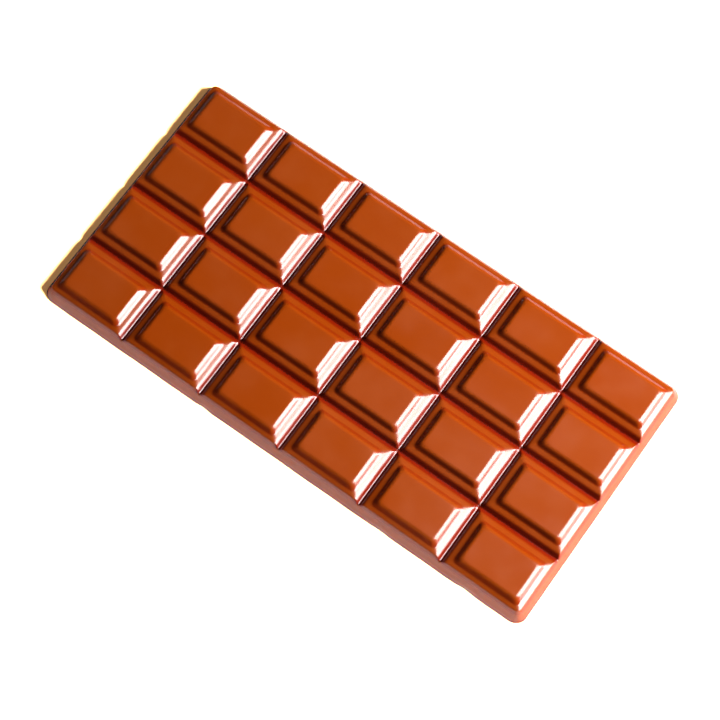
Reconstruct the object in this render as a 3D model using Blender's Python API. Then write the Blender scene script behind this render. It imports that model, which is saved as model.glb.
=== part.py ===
"""A bar of milk chocolate with 24 pieces, as the one solid that leaves its mould.

Plain metres, +Z up, +X along the bar, +Y to its far long side. The bar lies on the flat back that was
the open face of the mould, and the origin is the centre of that back. Three shapes make the solid: a plain
plate up to the bottom of the break grooves, a stepped block for each piece on top of it, and a drafted
envelope that trims the outer blocks to the sloping side walls of the bar.
"""

import math

import bpy

MM = 0.001

# The grid of pieces, measured from groove to groove.
COLUMNS = 6
ROWS = 4
PIECE_LENGTH = 26.25 * MM
PIECE_WIDTH = 19.5 * MM

# Heights. The grooves stop a little over half way down, which is where the bar breaks.
PLATE_HEIGHT = 4.2 * MM

# A piece's side has two steps. Each starts steep at its foot and rolls over on an arc to the flat above.
GROOVE_HALF_GAP = 0.15 * MM
LOWER_FOOT_WIDTH = 0.75 * MM
LOWER_FOOT_SLOPE = math.radians(49)
LOWER_ARC_RADIUS = 1.3 * MM
LEDGE_WIDTH = 1.35 * MM
LEDGE_SLOPE = math.radians(14)
UPPER_FOOT_WIDTH = 0.7 * MM
UPPER_FOOT_SLOPE = math.radians(46)
UPPER_ARC_RADIUS = 1.65 * MM
PLATEAU_SLOPE = 0.0
LOWER_ARC_STEPS = 2
UPPER_ARC_STEPS = 3

# Corner radii of a piece in plan, at the groove and at the plateau.
GROOVE_CORNER = 0.3 * MM
PLATEAU_CORNER = 1.6 * MM
CORNER_STEPS = 4

# The side walls. They slope out from the rim, which cuts the outer pieces off on their ledge, to the foot.
RIM_INSET = 1.81 * MM
RIM_HEIGHT = 5.55 * MM
WALL_DRAFT = math.radians(23)
FOOT_CORNER = 3.4 * MM
FOOT_CORNER_STEPS = 8

# How far helper shapes reach past the faces that they cut or join.
OVERLAP = 1.0 * MM

CHOCOLATE = (0.44, 0.07, 0.008)


def clear_scene():
    """Remove every object, so that the script also works on the startup scene."""
    for obj in list(bpy.data.objects):
        bpy.data.objects.remove(obj, do_unlink=True)


def rounded_ring(half_x, half_y, radius, height, steps):
    """Return the points of a rounded rectangle about the origin, anticlockwise, at one height."""
    ring = []
    for quarter in range(4):
        side_x = 1 if quarter in (0, 3) else -1
        side_y = 1 if quarter in (0, 1) else -1
        for step in range(steps + 1):
            angle = (quarter + step / steps) * math.pi / 2
            x = side_x * (half_x - radius) + radius * math.cos(angle)
            y = side_y * (half_y - radius) + radius * math.sin(angle)
            ring.append((x, y, height))
    return ring


def loft(rings, first_index=0):
    """Return the faces that join rings of equal length from the bottom up, with both ends closed."""
    count = len(rings[0])
    faces = [[first_index + i for i in reversed(range(count))]]
    for level in range(len(rings) - 1):
        low = first_index + level * count
        for i in range(count):
            j = (i + 1) % count
            faces.append([low + i, low + j, low + count + j, low + count + i])
    faces.append([first_index + (len(rings) - 1) * count + i for i in range(count)])
    return faces


def mesh_object(name, points, faces):
    """Make a mesh object from points and faces, and put it in the scene."""
    mesh = bpy.data.meshes.new(name)
    mesh.from_pydata(points, [], faces)
    mesh.update()
    obj = bpy.data.objects.new(name, mesh)
    bpy.context.scene.collection.objects.link(obj)
    return obj


def add_slope(profile, width, slope):
    """Carry a profile of (inset, height) pairs on by a straight slope of a given width in plan."""
    inset, height = profile[-1]
    profile.append((inset + width, height + width * math.tan(slope)))


def add_arc(profile, radius, start_slope, end_slope, steps):
    """Carry a profile on by an arc that eases from one slope to a flatter one."""
    inset, height = profile[-1]
    for step in range(1, steps + 1):
        slope = start_slope + (end_slope - start_slope) * step / steps
        across = radius * (math.sin(start_slope) - math.sin(slope))
        up = radius * (math.cos(slope) - math.cos(start_slope))
        profile.append((inset + across, height + up))


def piece_profile():
    """Return a piece's stepped side as (inset, height) pairs, from inside the plate to the plateau."""
    profile = [(GROOVE_HALF_GAP, PLATE_HEIGHT - OVERLAP), (GROOVE_HALF_GAP, PLATE_HEIGHT)]
    add_slope(profile, LOWER_FOOT_WIDTH, LOWER_FOOT_SLOPE)
    add_arc(profile, LOWER_ARC_RADIUS, LOWER_FOOT_SLOPE, LEDGE_SLOPE, LOWER_ARC_STEPS)
    add_slope(profile, LEDGE_WIDTH, LEDGE_SLOPE)
    add_slope(profile, UPPER_FOOT_WIDTH, UPPER_FOOT_SLOPE)
    add_arc(profile, UPPER_ARC_RADIUS, UPPER_FOOT_SLOPE, PLATEAU_SLOPE, UPPER_ARC_STEPS)
    return profile


def corner_at(inset, plateau_inset):
    """Return a piece's corner radius in plan at a distance from the groove's line."""
    along = (inset - GROOVE_HALF_GAP) / (plateau_inset - GROOVE_HALF_GAP)
    return GROOVE_CORNER + along * (PLATEAU_CORNER - GROOVE_CORNER)


def piece_rings():
    """Return the rings of one piece's block, centred on the origin in plan."""
    profile = piece_profile()
    plateau_inset = profile[-1][0]
    rings = []
    for inset, height in profile:
        half_x = PIECE_LENGTH / 2 - inset
        half_y = PIECE_WIDTH / 2 - inset
        radius = corner_at(inset, plateau_inset)
        rings.append(rounded_ring(half_x, half_y, radius, height, CORNER_STEPS))
    return rings


def make_blocks():
    """Make the blocks of all the pieces as one helper mesh."""
    rings = piece_rings()
    points = []
    faces = []
    for column in range(COLUMNS):
        for row in range(ROWS):
            centre_x = (column - (COLUMNS - 1) / 2) * PIECE_LENGTH
            centre_y = (row - (ROWS - 1) / 2) * PIECE_WIDTH
            faces += loft(rings, len(points))
            points += [(x + centre_x, y + centre_y, z) for ring in rings for x, y, z in ring]
    return mesh_object("piece_blocks", points, faces)


def envelope_ring(height):
    """Return the outline of the drafted side walls at one height above the back."""
    run = (RIM_HEIGHT - height) * math.tan(WALL_DRAFT)
    half_x = COLUMNS * PIECE_LENGTH / 2 - RIM_INSET + run
    half_y = ROWS * PIECE_WIDTH / 2 - RIM_INSET + run
    radius = FOOT_CORNER - height * math.tan(WALL_DRAFT)
    return rounded_ring(half_x, half_y, max(radius, GROOVE_CORNER), height, FOOT_CORNER_STEPS)


def make_envelope():
    """Make the drafted block that the whole bar fits in, standing on the back's plane."""
    top = piece_profile()[-1][1] + OVERLAP
    rings = [envelope_ring(0), envelope_ring(top)]
    return mesh_object("draft_envelope", [point for ring in rings for point in ring], loft(rings))


def make_plate():
    """Make the plain plate below the grooves, larger all round than the envelope that trims it."""
    foot_run = RIM_HEIGHT * math.tan(WALL_DRAFT)
    half_x = COLUMNS * PIECE_LENGTH / 2 + foot_run + OVERLAP
    half_y = ROWS * PIECE_WIDTH / 2 + foot_run + OVERLAP
    rings = [
        [(-half_x, -half_y, z), (half_x, -half_y, z), (half_x, half_y, z), (-half_x, half_y, z)]
        for z in (-OVERLAP, PLATE_HEIGHT)
    ]
    return mesh_object("chocolate_bar", [point for ring in rings for point in ring], loft(rings))


def add_boolean(obj, name, operation, other):
    """Combine an object with a helper, which is then hidden from the render."""
    modifier = obj.modifiers.new(name, "BOOLEAN")
    modifier.operation = operation
    modifier.solver = "EXACT"
    modifier.object = other
    other.hide_render = True
    other.display_type = "WIRE"


def chocolate_material():
    """Return the plain chocolate material, with the soft shine of a moulded face."""
    material = bpy.data.materials.new("milk_chocolate")
    material.use_nodes = True
    shader = material.node_tree.nodes["Principled BSDF"]
    shader.inputs["Base Color"].default_value = (*CHOCOLATE, 1)
    shader.inputs["Roughness"].default_value = 0.4
    shader.inputs["Metallic"].default_value = 0
    return material


def main():
    clear_scene()
    bar = make_plate()
    add_boolean(bar, "join_pieces", "UNION", make_blocks())
    add_boolean(bar, "trim_walls", "INTERSECT", make_envelope())
    bar.data.materials.append(chocolate_material())


main()
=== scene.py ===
"""A bar of milk chocolate lying on its flat back, in soft studio light from one side.

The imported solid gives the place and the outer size. The bar seen here is worked out again on a fine
grid, so that every edge has the small round that the mould leaves on it. It stays inside that solid's box.
"""

import math

import bmesh
import bpy
import numpy as np
from mathutils import Matrix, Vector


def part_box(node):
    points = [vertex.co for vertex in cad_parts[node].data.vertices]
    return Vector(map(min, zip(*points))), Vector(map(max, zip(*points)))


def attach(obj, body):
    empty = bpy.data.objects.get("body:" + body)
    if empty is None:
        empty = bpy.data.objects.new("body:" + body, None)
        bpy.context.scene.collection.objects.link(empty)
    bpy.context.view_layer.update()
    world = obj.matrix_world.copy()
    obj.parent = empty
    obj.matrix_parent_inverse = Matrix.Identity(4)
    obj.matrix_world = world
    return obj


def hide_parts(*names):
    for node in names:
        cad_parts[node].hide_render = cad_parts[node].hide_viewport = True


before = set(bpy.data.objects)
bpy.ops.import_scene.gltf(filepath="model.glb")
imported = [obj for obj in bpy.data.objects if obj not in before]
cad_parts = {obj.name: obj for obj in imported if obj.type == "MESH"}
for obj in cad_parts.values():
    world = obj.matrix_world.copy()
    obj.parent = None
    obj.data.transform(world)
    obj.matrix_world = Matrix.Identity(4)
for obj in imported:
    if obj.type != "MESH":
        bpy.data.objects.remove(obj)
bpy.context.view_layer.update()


# --- The bar ------------------------------------------------------------------------------------
# One piece of milk chocolate, poured into a plastic mould, shaken level, cooled and turned out. The
# mould leaves its polish on the pieces and the side walls, and the open face became the flat back.

MM = 0.001
BAR_LOW, BAR_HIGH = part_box("chocolate_bar")
COLUMNS, ROWS = 6, 4
PIECE_LENGTH = 26.25 * MM
PIECE_WIDTH = 19.5 * MM

# Each piece has two steps, which start steep at the foot and roll over on an arc to the flat above.
GROOVE_HEIGHT = 4.2 * MM
GROOVE_HALF_GAP = 0.15 * MM
LOWER_FOOT = 0.75 * MM
LOWER_SLOPE = math.radians(49)
LOWER_RADIUS = 1.3 * MM
LEDGE_SLOPE = math.radians(14)
UPPER_STEP_AT = 2.92 * MM
UPPER_FOOT = 0.7 * MM
UPPER_SLOPE = math.radians(46)
UPPER_RADIUS = 1.64 * MM
PLATEAU_AT = UPPER_STEP_AT + UPPER_FOOT + UPPER_RADIUS * math.sin(UPPER_SLOPE)
MOULD_ROUND = 0.16 * MM
ROUND_SAMPLES = 8
GROOVE_CORNER = 0.25 * MM
PLATEAU_CORNER = 1.6 * MM

# The walls slope out from the rim to the foot, where the back's edge is rounded.
WALL_DRAFT = math.radians(23)
WALL_RUN = 2.4 * MM
FOOT_CORNER = 3.4 * MM
FOOT_ROUND = 0.35 * MM
RIM_ROUND = 0.45 * MM

# The thin edge of the foot on the near side wanders a little and has three shallow nicks. Each is given
# by its place along the side, as a share of the bar's half length, and its depth.
FOOT_NICKS = ((-0.30, 0.30 * MM), (0.78, 0.38 * MM), (0.44, 0.18 * MM))
NICK_WIDTH = 0.025
NICK_HEIGHT = 1.8 * MM
NICK_REACH = 1.0 * MM
FOOT_WANDER = 0.06 * MM

# The grid's lines: how many cross a stepped side and the rim, and how far apart they are on a plateau.
SIDE_LINES = 20
SIDE_PAST_STEP = 0.4 * MM
PLATEAU_SPACING = 1.5 * MM
RIM_LINES = 19
RIM_CLEARANCE = 0.15 * MM
FOOT_RINGS, BACK_RINGS = 5, 12
BACK_RING_CROWDING = 1.5
HALF_LENGTH = (BAR_HIGH.x - BAR_LOW.x) / 2
HALF_WIDTH = (BAR_HIGH.y - BAR_LOW.y) / 2


def step_height(across, foot, slope, radius, flat_slope):
    """Height of one step at a distance from its foot. It climbs at the steep slope over the foot's width.
    Then an arc of the radius turns it to the flat slope, which it keeps from there on."""
    climb = np.minimum(across, foot) * math.tan(slope)
    turned = math.sin(slope) - np.clip(across - foot, 0, None) / radius
    sine = np.maximum(turned, math.sin(flat_slope))
    arc = radius * (np.sqrt(1 - sine**2) - math.cos(slope))
    arc_width = radius * (math.sin(slope) - math.sin(flat_slope))
    flat = np.maximum(across - foot - arc_width, 0) * math.tan(flat_slope)
    return climb + arc + flat


def piece_height(across):
    """Height above the grooves at a distance from the nearest groove: the lower step, and from its ledge
    on the upper step. The sharp profile is averaged over the mould's round, which softens every corner."""
    fine = MOULD_ROUND / ROUND_SAMPLES
    table_at = np.arange(-1 * MM, PLATEAU_AT + 2 * MM, fine)
    distance = np.abs(table_at)
    inset = np.clip(distance - GROOVE_HALF_GAP, 0, UPPER_STEP_AT - GROOVE_HALF_GAP)
    lower = step_height(inset, LOWER_FOOT, LOWER_SLOPE, LOWER_RADIUS, LEDGE_SLOPE)
    upper = step_height(np.maximum(distance - UPPER_STEP_AT, 0), UPPER_FOOT, UPPER_SLOPE, UPPER_RADIUS, 0)
    sharp = lower + upper
    reach = 2 * ROUND_SAMPLES
    width = np.arange(-reach, reach + 1) / ROUND_SAMPLES
    weight = np.exp(-0.5 * (2 * width) ** 2)
    soft = np.convolve(np.pad(sharp, reach, mode="edge"), weight / weight.sum(), mode="valid")
    return np.interp(across, table_at, soft)


def groove_distance(x, y):
    """Distance from the nearest groove, with the corners of each piece rounded in plan. The two distances
    to the grooves on either side give it alone, except near a corner, where it is that of a circle whose
    radius grows from the groove to the plateau."""
    column = np.abs((x / PIECE_LENGTH + COLUMNS / 2 + 0.5) % 1 - 0.5) * PIECE_LENGTH
    row = np.abs((y / PIECE_WIDTH + ROWS / 2 + 0.5) % 1 - 0.5) * PIECE_WIDTH
    distance = np.minimum(column, row)
    for _ in range(3):
        along = np.clip(distance / PLATEAU_AT, 0, 1)
        radius = GROOVE_CORNER + along * (PLATEAU_CORNER - GROOVE_CORNER)
        gap = np.minimum(np.abs(column - row), radius)
        rounded = (column + row + np.sqrt(2 * radius**2 - gap**2)) / 2 - radius
        distance = np.where(gap < radius, rounded, np.minimum(column, row))
    return distance


def foot_distance(x, y):
    """Distance in from the foot's outline, a rectangle with rounded corners."""
    past_x = np.abs(x) - (HALF_LENGTH - FOOT_CORNER)
    past_y = np.abs(y) - (HALF_WIDTH - FOOT_CORNER)
    corner = np.hypot(np.maximum(past_x, 0), np.maximum(past_y, 0))
    return FOOT_CORNER - corner - np.minimum(np.maximum(past_x, past_y), 0)


def top_height(x, y):
    """Height of the bar over its back: the lower of the pieces' surface and the sloping wall, less a
    parabola's blend where the two are closer together than the rim's round."""
    pieces = GROOVE_HEIGHT + piece_height(groove_distance(x, y))
    wall = FOOT_ROUND + foot_distance(x, y) / math.tan(WALL_DRAFT)
    blend = np.clip(RIM_ROUND - np.abs(pieces - wall), 0, None) ** 2 / (4 * RIM_ROUND)
    return np.minimum(pieces, wall) - blend


def grid_lines(count, pitch, half_foot):
    """Places of the grid's lines along one side: close together over the stepped sides and the rim, and
    wider over the plateaus. The same lines serve every piece, and the rim's own lines replace those that
    fall on the wall."""
    side = np.linspace(0, PLATEAU_AT + SIDE_PAST_STEP, SIDE_LINES)
    plateau = np.linspace(side[-1], pitch / 2, 2 + int((pitch / 2 - side[-1]) / PLATEAU_SPACING))
    half_piece = np.concatenate([side, plateau[1:]])
    piece = np.concatenate([half_piece, pitch - half_piece[-2:0:-1]])
    inner = (np.arange(count)[:, None] * pitch + piece - count * pitch / 2).ravel()
    turn = np.linspace(-1, 1, RIM_LINES)
    rim = half_foot - WALL_RUN * (1 + turn * np.abs(turn) * np.where(turn > 0, 0.5, 1))
    inner = inner[np.abs(inner) < rim.min() - RIM_CLEARANCE]
    return np.concatenate([-np.sort(rim)[::-1], inner, np.sort(rim)])


def round_corners(x, y):
    """Draw the four corners of a rectangular grid in to the foot's rounded outline. In each corner square
    a point's two coordinates shrink together so that the square's outer sides land on a quarter circle."""
    past_x = np.clip(np.abs(x) - (HALF_LENGTH - FOOT_CORNER), 0, None) / FOOT_CORNER
    past_y = np.clip(np.abs(y) - (HALF_WIDTH - FOOT_CORNER), 0, None) / FOOT_CORNER
    shrink_x = past_x * (1 - np.sqrt(1 - past_y**2 / 2)) * FOOT_CORNER
    shrink_y = past_y * (1 - np.sqrt(1 - past_x**2 / 2)) * FOOT_CORNER
    return x - np.sign(x) * shrink_x, y - np.sign(y) * shrink_y


def grid_faces(index):
    """Quads over a two-dimensional array of vertex numbers, turned anticlockwise seen from the front."""
    corners = (index[:-1, :-1], index[:-1, 1:], index[1:, 1:], index[1:, :-1])
    return np.stack([corner.ravel() for corner in corners], axis=1)


def under_rings(outline):
    """Rings that carry the top's outline round the foot's small arc and in over the flat back, to a line
    down the bar's middle where the last ring closes on itself."""
    centre = np.stack(
        [
            np.clip(outline[:, 0], FOOT_CORNER - HALF_LENGTH, HALF_LENGTH - FOOT_CORNER),
            np.clip(outline[:, 1], FOOT_CORNER - HALF_WIDTH, HALF_WIDTH - FOOT_CORNER),
        ],
        axis=1,
    )
    outward = (outline[:, :2] - centre) / FOOT_CORNER
    angle = np.linspace(0, math.pi / 2, FOOT_RINGS + 1)[1:, None, None]
    arc_plan = outline[:, :2] - outward * FOOT_ROUND * (1 - np.cos(angle))
    arc_height = np.broadcast_to(FOOT_ROUND * (1 - np.sin(angle)), arc_plan[..., :1].shape)
    share = np.linspace(0, 1, BACK_RINGS + 1)[1:, None, None] ** BACK_RING_CROWDING
    spine = HALF_LENGTH - HALF_WIDTH
    middle = np.stack([np.clip(outline[:, 0], -spine, spine), np.zeros(len(outline))], axis=1)
    back_plan = arc_plan[-1] * (1 - share) + middle * share
    back = np.concatenate([back_plan, np.zeros_like(back_plan[..., :1])], axis=2)
    return np.concatenate([np.concatenate([arc_plan, arc_height], axis=2), back])


def worn_foot(points):
    """Draw the foot of the near side in where its thin edge is worn. The depth is a slow wave along the
    side plus a bell curve at each nick, and fades out in a straight line up the wall."""
    near_wall = np.clip(1 - points[:, 2] / NICK_HEIGHT, 0, 1) * (points[:, 1] < NICK_REACH - HALF_WIDTH)
    along = points[:, 0] / HALF_LENGTH
    wander = FOOT_WANDER * (1 + np.sin(9 * along + 1) * np.cos(23 * along))
    nicks = sum(depth * np.exp(-(((along - at) / NICK_WIDTH) ** 2)) for at, depth in FOOT_NICKS)
    drawn = points.copy()
    drawn[:, 1] += near_wall * (wander + nicks)
    return drawn


def bar_mesh():
    """The whole closed surface: the top as a height over the grid, and the rings under it. With it come two
    numbers per point: the share of the way from a groove to the plateau, and how far it is onto the back."""
    lines_x = grid_lines(COLUMNS, PIECE_LENGTH, HALF_LENGTH)
    lines_y = grid_lines(ROWS, PIECE_WIDTH, HALF_WIDTH)
    grid_x, grid_y = round_corners(*np.meshgrid(lines_x, lines_y))
    top = np.stack([grid_x, grid_y, top_height(grid_x, grid_y)], axis=2)
    top_index = np.arange(grid_x.size).reshape(grid_x.shape)
    edge = np.concatenate(
        [top_index[0, :-1], top_index[:-1, -1], top_index[-1, :0:-1], top_index[:0:-1, 0]]
    )
    rings = under_rings(top.reshape(-1, 3)[edge])
    ring_index = grid_x.size + np.arange(rings[..., 0].size).reshape(rings.shape[:2])
    ring_index = np.concatenate([edge[None], ring_index])
    ring_index = np.concatenate([ring_index, ring_index[:, :1]], axis=1)[::-1]
    points = worn_foot(np.concatenate([top.reshape(-1, 3), rings.reshape(-1, 3)]))
    faces = np.concatenate([grid_faces(top_index), grid_faces(ring_index)])
    inset = np.clip(groove_distance(points[:, 0], points[:, 1]) / PLATEAU_AT, 0, 1)
    inset = np.where(points[:, 2] < GROOVE_HEIGHT, 1.0, inset)
    back = np.clip(1 - points[:, 2] / FOOT_ROUND, 0, 1)
    middle = np.array([(BAR_LOW.x + BAR_HIGH.x) / 2, (BAR_LOW.y + BAR_HIGH.y) / 2, BAR_LOW.z])
    return points + middle, faces, inset, back


bar_points, bar_faces, bar_inset, bar_back = bar_mesh()
bar_data = bpy.data.meshes.new("moulded_bar")
bar_data.from_pydata(bar_points, [], bar_faces.tolist())
for label, values in (("groove_inset", bar_inset), ("poured_back", bar_back)):
    layer = bar_data.attributes.new(label, "FLOAT", "POINT")
    layer.data.foreach_set("value", values.astype(np.float32))
# The last ring closes on itself down the middle of the back, where its doubled points are welded.
WELD_DISTANCE = 1e-7
welded = bmesh.new()
welded.from_mesh(bar_data)
bmesh.ops.remove_doubles(welded, verts=welded.verts, dist=WELD_DISTANCE)
welded.to_mesh(bar_data)
welded.free()
bar_data.shade_smooth()
moulded_bar = bpy.data.objects.new("moulded_bar", bar_data)
bpy.context.scene.collection.objects.link(moulded_bar)

MILK_CHOCOLATE = (0.45, 0.062, 0.001)
PALE_CHOCOLATE = (0.50, 0.086, 0.009)
# Painted shade: the darker, redder brown laid into the grooves, at the upper step's foot and along the foot
# of the walls.
PAINTED_SHADE_BROWN = (0.28, 0.011, 0.0005)
POURED_BACK = (0.36, 0.075, 0.012)
PALE_SPECK = (0.62, 0.22, 0.10)
BOUNCED_SHARE = 0.3

# Painted shade: how deep the colour is, from a groove (0) to the plateau (1): darkest in the groove, and
# again a little at the foot of the upper step. Then the heights over which a painted shadow along the foot of
# the walls fades out.
PAINTED_SHADE_STOPS = ((0.0, 1.0), (0.18, 0.9), (0.34, 0.1), (0.52, 0.0), (0.62, 0.6), (0.72, 0.5), (0.86, 0.0))
FOOT_SHADOW_FROM = 0.9 * MM
FOOT_SHADOW_TO = 1.4 * MM

# Scales are in waves or cells per metre. The shares are how much of the paler brown each one brings.
DRIFT_SCALE, DRIFT_FROM, DRIFT_TO, DRIFT_SHARE = 28.0, 0.35, 0.65, 0.28
MOTTLE_SCALE, MOTTLE_FROM, MOTTLE_TO, MOTTLE_SHARE = 120.0, 0.40, 0.75, 0.24
SPECK_SCALE, SPECK_SHARE = 48.0, 0.55
SPECK_CORE, SPECK_EDGE = 0.010, 0.022
CLOUD_SCALE, CLOUD_FROM, CLOUD_TO = 60.0, 0.3, 0.7
CLOUD_SHINIEST, CLOUD_DULLEST = 0.18, 0.25
RUBBED_SCALE, RUBBED_FROM, RUBBED_TO, RUBBED_ROUGHER = 120.0, 0.4, 0.8, 0.02
RUBBED_TURN, RUBBED_STRETCH = 0.5, (0.25, 1.6, 1.0)
BACK_ROUGHER = 0.22
WAVE_SCALE = 130.0
GRAIN_SCALE, GRAIN_DETAIL, GRAIN_ROUGHNESS = 900.0, 3.0, 0.6
RELIEF_STRENGTH, RELIEF_HEIGHT = 0.5, 0.05 * MM


def add_noise(nodes, links, vector, scale, detail=2.0, roughness=0.5):
    """A noise texture node in the piece's own coordinates, with its scale in waves per metre."""
    noise = nodes.new("ShaderNodeTexNoise")
    noise.inputs["Scale"].default_value = scale
    noise.inputs["Detail"].default_value = detail
    noise.inputs["Roughness"].default_value = roughness
    links.new(vector, noise.inputs["Vector"])
    return noise.outputs["Fac"]


def add_range(nodes, links, value, low, high, out_low=0.0, out_high=1.0):
    """A map range node that carries a value from one span to another along a smooth S-shaped curve, and
    stops at both ends."""
    span = nodes.new("ShaderNodeMapRange")
    span.interpolation_type = "SMOOTHSTEP"
    links.new(value, span.inputs["Value"])
    ends = {"From Min": low, "From Max": high, "To Min": out_low, "To Max": out_high}
    for name, number in ends.items():
        span.inputs[name].default_value = number
    return span.outputs["Result"]


def add_blend(nodes, links, factor, under, over):
    """A colour mix node. Each colour is a tuple or another node's socket."""
    blend = nodes.new("ShaderNodeMix")
    blend.data_type = "RGBA"
    links.new(factor, blend.inputs["Factor"])
    for socket, colour in ((blend.inputs["A"], under), (blend.inputs["B"], over)):
        if isinstance(colour, tuple):
            socket.default_value = (*colour, 1)
        else:
            links.new(colour, socket)
    return blend.outputs["Result"]


def add_math(nodes, links, operation, first, second):
    """A math node on a socket and a second socket or number."""
    node = nodes.new("ShaderNodeMath")
    node.operation = operation
    for socket, value in zip(node.inputs, (first, second)):
        if isinstance(value, float):
            socket.default_value = value
        else:
            links.new(value, socket)
    return node.outputs["Value"]


def add_attribute(nodes, label):
    """The value stored on the mesh's points under a label."""
    attribute = nodes.new("ShaderNodeAttribute")
    attribute.attribute_name = label
    return attribute.outputs["Fac"]


def add_painted_shade(nodes, links, place):
    """How much painted shade the brown gets at a place, from 0 to 1: the larger of the stops' value at the
    share of the way from a groove to the plateau, and a painted shadow of 1 along the foot that fades out up
    the wall."""
    recess_shade = nodes.new("ShaderNodeValToRGB")
    ramp = recess_shade.color_ramp
    while len(ramp.elements) < len(PAINTED_SHADE_STOPS):
        ramp.elements.new(0.5)
    for element, (position, level) in zip(ramp.elements, PAINTED_SHADE_STOPS):
        element.position = position
        element.color = (level, level, level, 1)
    links.new(add_attribute(nodes, "groove_inset"), recess_shade.inputs["Fac"])
    height = nodes.new("ShaderNodeSeparateXYZ")
    links.new(place, height.inputs["Vector"])
    foot = add_range(nodes, links, height.outputs["Z"], FOOT_SHADOW_FROM, FOOT_SHADOW_TO, 1.0, 0.0)
    return add_math(nodes, links, "MAXIMUM", recess_shade.outputs["Color"], foot)


def add_tone(nodes, links, place, back):
    """The brown at a place: the plain brown, paler by the shares of a slow drift and a finer mottle, darker
    and redder by the painted shade in the grooves and along the foot, with pale specks where a cell's centre
    is near, and greyer on the poured back."""
    drift = add_range(nodes, links, add_noise(nodes, links, place, DRIFT_SCALE), DRIFT_FROM, DRIFT_TO)
    mottle = add_noise(nodes, links, place, MOTTLE_SCALE)
    mottle = add_range(nodes, links, mottle, MOTTLE_FROM, MOTTLE_TO)
    drift = add_math(nodes, links, "MULTIPLY", drift, DRIFT_SHARE)
    mottle = add_math(nodes, links, "MULTIPLY", mottle, MOTTLE_SHARE)
    paler = add_math(nodes, links, "ADD", drift, mottle)
    tone = add_blend(nodes, links, paler, MILK_CHOCOLATE, PALE_CHOCOLATE)
    # Painted shade in the grooves, at the foot of the upper step and along the foot of the walls.
    tone = add_blend(nodes, links, add_painted_shade(nodes, links, place), tone, PAINTED_SHADE_BROWN)
    cells = nodes.new("ShaderNodeTexVoronoi")
    cells.inputs["Scale"].default_value = SPECK_SCALE
    links.new(place, cells.inputs["Vector"])
    specks = add_range(nodes, links, cells.outputs["Distance"], SPECK_CORE, SPECK_EDGE, SPECK_SHARE, 0.0)
    tone = add_blend(nodes, links, specks, tone, PALE_SPECK)
    return add_blend(nodes, links, back, tone, POURED_BACK)


def add_roughness(nodes, links, place, back):
    """How rough the skin is at a place: cloudy patches, plus streaks that run across the bar, plus the duller
    poured back."""
    cloud = add_noise(nodes, links, place, CLOUD_SCALE)
    cloud = add_range(nodes, links, cloud, CLOUD_FROM, CLOUD_TO, CLOUD_SHINIEST, CLOUD_DULLEST)
    stretch = nodes.new("ShaderNodeMapping")
    stretch.inputs["Rotation"].default_value = (0, 0, RUBBED_TURN)
    stretch.inputs["Scale"].default_value = RUBBED_STRETCH
    links.new(place, stretch.inputs["Vector"])
    rubbed = add_noise(nodes, links, stretch.outputs["Vector"], RUBBED_SCALE)
    rubbed = add_range(nodes, links, rubbed, RUBBED_FROM, RUBBED_TO, 0.0, RUBBED_ROUGHER)
    rough = add_math(nodes, links, "ADD", cloud, rubbed)
    return add_math(nodes, links, "ADD", rough, add_math(nodes, links, "MULTIPLY", back, BACK_ROUGHER))


def add_relief(nodes, links, place, back):
    """Slow waves about a hundredth of a millimetre deep all over, plus fine grain on the poured back only."""
    waves = add_noise(nodes, links, place, WAVE_SCALE)
    grain = add_noise(nodes, links, place, GRAIN_SCALE, GRAIN_DETAIL, GRAIN_ROUGHNESS)
    relief = add_math(nodes, links, "ADD", waves, add_math(nodes, links, "MULTIPLY", grain, back))
    bump = nodes.new("ShaderNodeBump")
    bump.inputs["Strength"].default_value = RELIEF_STRENGTH
    bump.inputs["Distance"].default_value = RELIEF_HEIGHT
    links.new(relief, bump.inputs["Height"])
    return bump.outputs["Normal"]


def chocolate_material():
    """Milk chocolate as it leaves a polished mould. The grooves, the foot of each upper step and a line along
    the foot of the walls get a darker, redder brown as painted shade, so the flat tops look a little paler
    than the grooves. The colour drifts slowly from place to place as the cocoa butter sets. The back is
    duller and greyer, because it set against the air."""
    material = bpy.data.materials.new("milk_chocolate_polished")
    material.use_nodes = True
    nodes, links = material.node_tree.nodes, material.node_tree.links
    shader = nodes["Principled BSDF"]
    shader.inputs["IOR"].default_value = 1.5
    place = nodes.new("ShaderNodeTexCoord").outputs["Object"]
    back = add_attribute(nodes, "poured_back")

    # Light that has already bounced off the chocolate once comes back weaker, as from a darker brown.
    path = nodes.new("ShaderNodeLightPath")
    bounced = nodes.new("ShaderNodeMix")
    bounced.data_type = "RGBA"
    bounced.blend_type = "MULTIPLY"
    bounced.inputs["B"].default_value = (BOUNCED_SHARE, BOUNCED_SHARE, BOUNCED_SHARE, 1)
    links.new(path.outputs["Is Diffuse Ray"], bounced.inputs["Factor"])
    links.new(add_tone(nodes, links, place, back), bounced.inputs["A"])
    links.new(bounced.outputs["Result"], shader.inputs["Base Color"])
    links.new(add_roughness(nodes, links, place, back), shader.inputs["Roughness"])
    links.new(add_relief(nodes, links, place, back), shader.inputs["Normal"])
    return material


bar_data.materials.append(chocolate_material())
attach(moulded_bar, "root")
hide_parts("chocolate_bar")


# --- The floor ----------------------------------------------------------------------------------
# A sheet of plain pale card on a table, which the bar lies on. It is not part of the bar.
# The camera sees a warm card so brightly lit that only its shadow shows the warmth, so the warm colour is a
# painted tint of that shadow. Light that bounces off it comes from a dark grey, and the chocolate mirrors a
# darker one, with painted shade in that reflection beyond the bar's left end.

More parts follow.
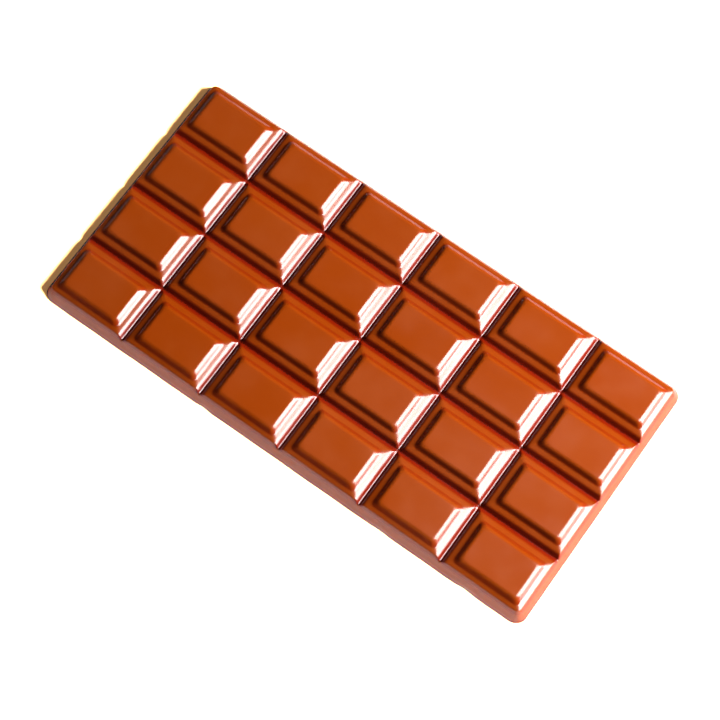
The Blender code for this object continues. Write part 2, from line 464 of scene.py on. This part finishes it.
FLOOR_HALF = 0.35
CARD_ROUGHNESS, CARD_SPECULAR = 0.9, 0.1
BOUNCE_GREY = (0.22, 0.22, 0.22)
MIRRORED_GREY = (0.125, 0.125, 0.125)
# Painted shade in the floor's reflection beyond the bar's left end.
MIRRORED_PAINTED_SHADE = (0.02, 0.02, 0.02)
# Painted shadow tint: the warm colour shows only where the floor lies in shadow.
SEEN_WARM_SHADOW_TINT = (0.95, 0.48, 0.18)
DARKER_WITHIN = 4 * MM
floor_data = bpy.data.meshes.new("floor")
floor_corners = np.array([(-1, -1, 0), (1, -1, 0), (1, 1, 0), (-1, 1, 0)]) * FLOOR_HALF
floor_data.from_pydata(floor_corners + (0, 0, BAR_LOW.z), [], [(0, 1, 2, 3)])
floor = bpy.data.objects.new("floor", floor_data)
bpy.context.scene.collection.objects.link(floor)
card = bpy.data.materials.new("white_card")
card.use_nodes = True
card_nodes, card_links = card.node_tree.nodes, card.node_tree.links
card_shader = card_nodes["Principled BSDF"]
card_shader.inputs["Roughness"].default_value = CARD_ROUGHNESS
card_shader.inputs["Specular IOR Level"].default_value = CARD_SPECULAR
card_path = card_nodes.new("ShaderNodeLightPath")
seen, mirrored = card_path.outputs["Is Camera Ray"], card_path.outputs["Is Glossy Ray"]
# Painted shadow tint: the warm colour that only the camera sees, which shows only where the floor lies in
# shadow.
card_tone = add_blend(card_nodes, card_links, seen, BOUNCE_GREY, SEEN_WARM_SHADOW_TINT)
card_place = card_nodes.new("ShaderNodeSeparateXYZ")
card_links.new(card_nodes.new("ShaderNodeTexCoord").outputs["Object"], card_place.inputs["Vector"])
# Painted shade in the floor's reflection: darkest beyond the bar's left end.
card_shade_side = add_range(card_nodes, card_links, card_place.outputs["X"],
                      BAR_LOW.x - DARKER_WITHIN, BAR_LOW.x + DARKER_WITHIN)
card_mirrored = add_blend(card_nodes, card_links, card_shade_side, MIRRORED_PAINTED_SHADE, MIRRORED_GREY)
card_tone = add_blend(card_nodes, card_links, mirrored, card_tone, card_mirrored)
card_links.new(card_tone, card_shader.inputs["Base Color"])
floor_data.materials.append(card)


# --- The light ----------------------------------------------------------------------------------
# White lamps on the right: a soft box that lights the chocolate, a tall card that only shows as its shine,
# and a weak low card. Two more lamps light the floor alone. The room is dim, and white to the camera.

AIM = (BAR_LOW + BAR_HIGH) / 2
ROOM_STRENGTH = 0.02


def direction_from(azimuth, elevation):
    """The unit vector from the bar towards a compass angle, turned from +X towards +Y, and a height angle."""
    turn, rise = math.radians(azimuth), math.radians(elevation)
    return np.array([math.cos(turn) * math.cos(rise), math.sin(turn) * math.cos(rise), math.sin(rise)])


def add_box_light(name, azimuth, elevation, distance, width, height, power):
    """An area lamp that faces the bar, at a distance in metres in the direction of two angles in degrees.
    Its width and height are in metres and its power in watts."""
    data = bpy.data.lights.new(name, "AREA")
    data.shape = "RECTANGLE"
    data.size = width
    data.size_y = height
    data.energy = power
    lamp = bpy.data.objects.new(name, data)
    place = direction_from(azimuth, elevation) * distance
    lamp.location = AIM + type(AIM)(place)
    lamp.rotation_euler = (AIM - lamp.location).to_track_quat("-Z", "Y").to_euler()
    bpy.context.scene.collection.objects.link(lamp)
    return lamp


soft_box = add_box_light("soft_box", 32, 31, 0.70, 0.24, 0.24, 9.4)
soft_box.visible_glossy = False
shine_card = add_box_light("shine_card", 23, 42, 0.90, 0.48, 1.02, 43.0)
shine_card.visible_diffuse = False
add_box_light("low_card", 15, 4, 0.95, 0.6, 0.14, 3.0)
floor_only = bpy.data.collections.new("floor_only")
floor_only.objects.link(floor)
floor_box = add_box_light("floor_box", 10, 53, 0.95, 0.16, 0.16, 105.0)
floor_fill = add_box_light("floor_fill", 200, 50, 0.95, 0.5, 0.5, 3.2)
floor_box.light_linking.receiver_collection = floor_only
floor_fill.light_linking.receiver_collection = floor_only

room = bpy.data.worlds.new("room")
bpy.context.scene.world = room
room.use_nodes = True
room_nodes, room_links = room.node_tree.nodes, room.node_tree.links
room_light = room_nodes["Background"]
room_seen = room_nodes.new("ShaderNodeBackground")
for shown, strength in ((room_light, ROOM_STRENGTH), (room_seen, 1.0)):
    shown.inputs["Color"].default_value = (1, 1, 1, 1)
    shown.inputs["Strength"].default_value = strength
room_path = room_nodes.new("ShaderNodeLightPath")
room_mix = room_nodes.new("ShaderNodeMixShader")
room_links.new(room_path.outputs["Is Camera Ray"], room_mix.inputs["Fac"])
room_links.new(room_light.outputs["Background"], room_mix.inputs[1])
room_links.new(room_seen.outputs["Background"], room_mix.inputs[2])
room_links.new(room_mix.outputs["Shader"], room_nodes["World Output"].inputs["Surface"])


# --- The camera ---------------------------------------------------------------------------------
# Looks down steeply from in front and a little to the right, through a long lens, held slightly askew.
# Angles are in degrees and lengths in metres, except the lens and sensor, which are in millimetres.

VIEW_TURN = 34.33
VIEW_RISE = 72.15
VIEW_ROLL = math.radians(1.24)
VIEW_DISTANCE = 0.569
LENS, SENSOR = 105.24, 36
AIM_SHIFT_X = 3.22 * MM
AIM_SHIFT_Y = -4.74 * MM
camera_data = bpy.data.cameras.new("camera")
camera_data.lens = LENS
camera_data.sensor_width = SENSOR
camera = bpy.data.objects.new("camera", camera_data)
look_at = np.array([AIM.x + AIM_SHIFT_X, AIM.y + AIM_SHIFT_Y, BAR_LOW.z + GROOVE_HEIGHT])
back = direction_from(VIEW_TURN - 90, VIEW_RISE)
level = direction_from(VIEW_TURN, 0)
upward = np.cross(back, level)
right = level * math.cos(VIEW_ROLL) + upward * math.sin(VIEW_ROLL)
camera.rotation_euler = Matrix(np.stack([right, np.cross(back, right), back], axis=1)).to_euler()
camera.location = look_at + back * VIEW_DISTANCE
bpy.context.scene.collection.objects.link(camera)
bpy.context.scene.camera = camera
bpy.context.scene.view_settings.view_transform = "Standard"
